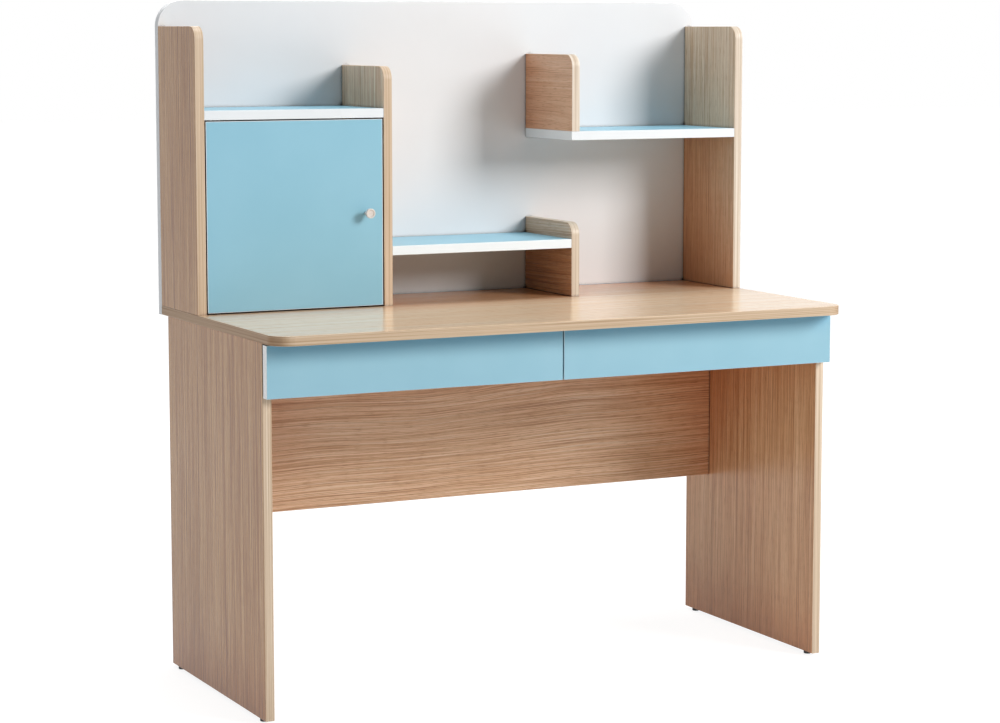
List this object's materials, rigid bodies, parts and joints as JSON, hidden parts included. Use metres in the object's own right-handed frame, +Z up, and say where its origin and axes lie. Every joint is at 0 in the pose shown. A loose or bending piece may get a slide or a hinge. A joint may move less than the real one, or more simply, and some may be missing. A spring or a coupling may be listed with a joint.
{
  "type": "study desk",
  "caption": "Study desk with slab legs, side-by-side drawers on telescopic runners and a hutch of open shelves and a small cabinet with a flush pivoting door.",
  "frame": {"origin": "on the floor under the middle of the desk's outer box", "axes": "+Z up, +X to the sitter's right, +Y away from the sitter towards the back panel"},
  "size_m": [1.2, 0.618, 1.31],
  "materials": {
    "oak_laminate": "light oak melamine, fine straight grain, satin",
    "blue_laminate": "sky-blue melamine, satin",
    "white_edging": "white plastic edging, satin",
    "white_laminate": "off-white melamine, satin",
    "drawer_board": "white foil-wrapped board",
    "runner_steel": "zinc-plated steel",
    "fastener_steel": "plated steel",
    "cam_zinc": "cast zinc",
    "beech": "bare beech",
    "glide_black": "black plastic",
    "white_nylon": "white nylon",
    "knob_finish": "pale lacquered wood"
  },
  "bodies": {
    "desk": {"left_leg": "oak_laminate", "right_leg": "oak_laminate", "floor_glides": "glide_black", "modesty_panel": "oak_laminate", "desktop": "oak_laminate", "back_panel": "white_laminate", "left_upright": "oak_laminate", "right_upright": "oak_laminate", "cabinet_divider": "oak_laminate", "cabinet_shelf": "blue_laminate", "cabinet_shelf_edging": "white_edging", "low_shelf": "blue_laminate", "low_shelf_edging": "white_edging", "low_shelf_end": "oak_laminate", "high_shelf": "blue_laminate", "high_shelf_edging": "white_edging", "book_stop": "oak_laminate", "drawer_partition": "oak_laminate", "door_pivot_bushes": "glide_black", "door_catch": "white_nylon", "cam_bolts": "fastener_steel", "cam_discs": "cam_zinc", "dowels": "beech", "panel_screws": "fastener_steel", "runner_screws": "fastener_steel", "left_drawer_left_runner_outer": "runner_steel", "left_drawer_right_runner_outer": "runner_steel", "right_drawer_left_runner_outer": "runner_steel", "right_drawer_right_runner_outer": "runner_steel"},
    "door": {"door_panel": "blue_laminate", "door_edging": "white_edging", "door_pivot_pins": "fastener_steel", "door_knob": "knob_finish", "knob_screw": "fastener_steel", "strike_plate": "fastener_steel"},
    "left_drawer": {"left_drawer_front": "blue_laminate", "left_drawer_front_edging": "white_edging", "left_drawer_left_side": "drawer_board", "left_drawer_right_side": "drawer_board", "left_drawer_box_front": "drawer_board", "left_drawer_back": "drawer_board", "left_drawer_bottom": "drawer_board", "left_drawer_screws": "fastener_steel", "left_drawer_left_runner_inner": "runner_steel", "left_drawer_right_runner_inner": "runner_steel"},
    "left_drawer_slides": {"left_drawer_left_runner_middle": "runner_steel", "left_drawer_right_runner_middle": "runner_steel"},
    "right_drawer": {"right_drawer_front": "blue_laminate", "right_drawer_front_edging": "white_edging", "right_drawer_left_side": "drawer_board", "right_drawer_right_side": "drawer_board", "right_drawer_box_front": "drawer_board", "right_drawer_back": "drawer_board", "right_drawer_bottom": "drawer_board", "right_drawer_screws": "fastener_steel", "right_drawer_left_runner_inner": "runner_steel", "right_drawer_right_runner_inner": "runner_steel"},
    "right_drawer_slides": {"right_drawer_left_runner_middle": "runner_steel", "right_drawer_right_runner_middle": "runner_steel"}
  },
  "joints": [
    {"name": "door_swing", "type": "hinge", "parent": "desk", "child": "door", "pos_m": [-0.5575, 0.095, 0.9], "axis": [0, 0, -1], "range_deg": [0, 110]},
    {"name": "left_drawer_slide", "type": "slide", "parent": "desk", "child": "left_drawer", "axis": [0, -1, 0], "range_m": [0, 0.3]},
    {"name": "left_drawer_middle_slide", "type": "slide", "parent": "desk", "child": "left_drawer_slides", "axis": [0, -1, 0], "range_m": [0, 0.15]},
    {"name": "right_drawer_slide", "type": "slide", "parent": "desk", "child": "right_drawer", "axis": [0, -1, 0], "range_m": [0, 0.3]},
    {"name": "right_drawer_middle_slide", "type": "slide", "parent": "desk", "child": "right_drawer_slides", "axis": [0, -1, 0], "range_m": [0, 0.15]}
  ],
  "couplings": [
    {"joint": "left_drawer_middle_slide", "follows": "left_drawer_slide", "ratio": 0.5},
    {"joint": "right_drawer_middle_slide", "follows": "right_drawer_slide", "ratio": 0.5}
  ]
}
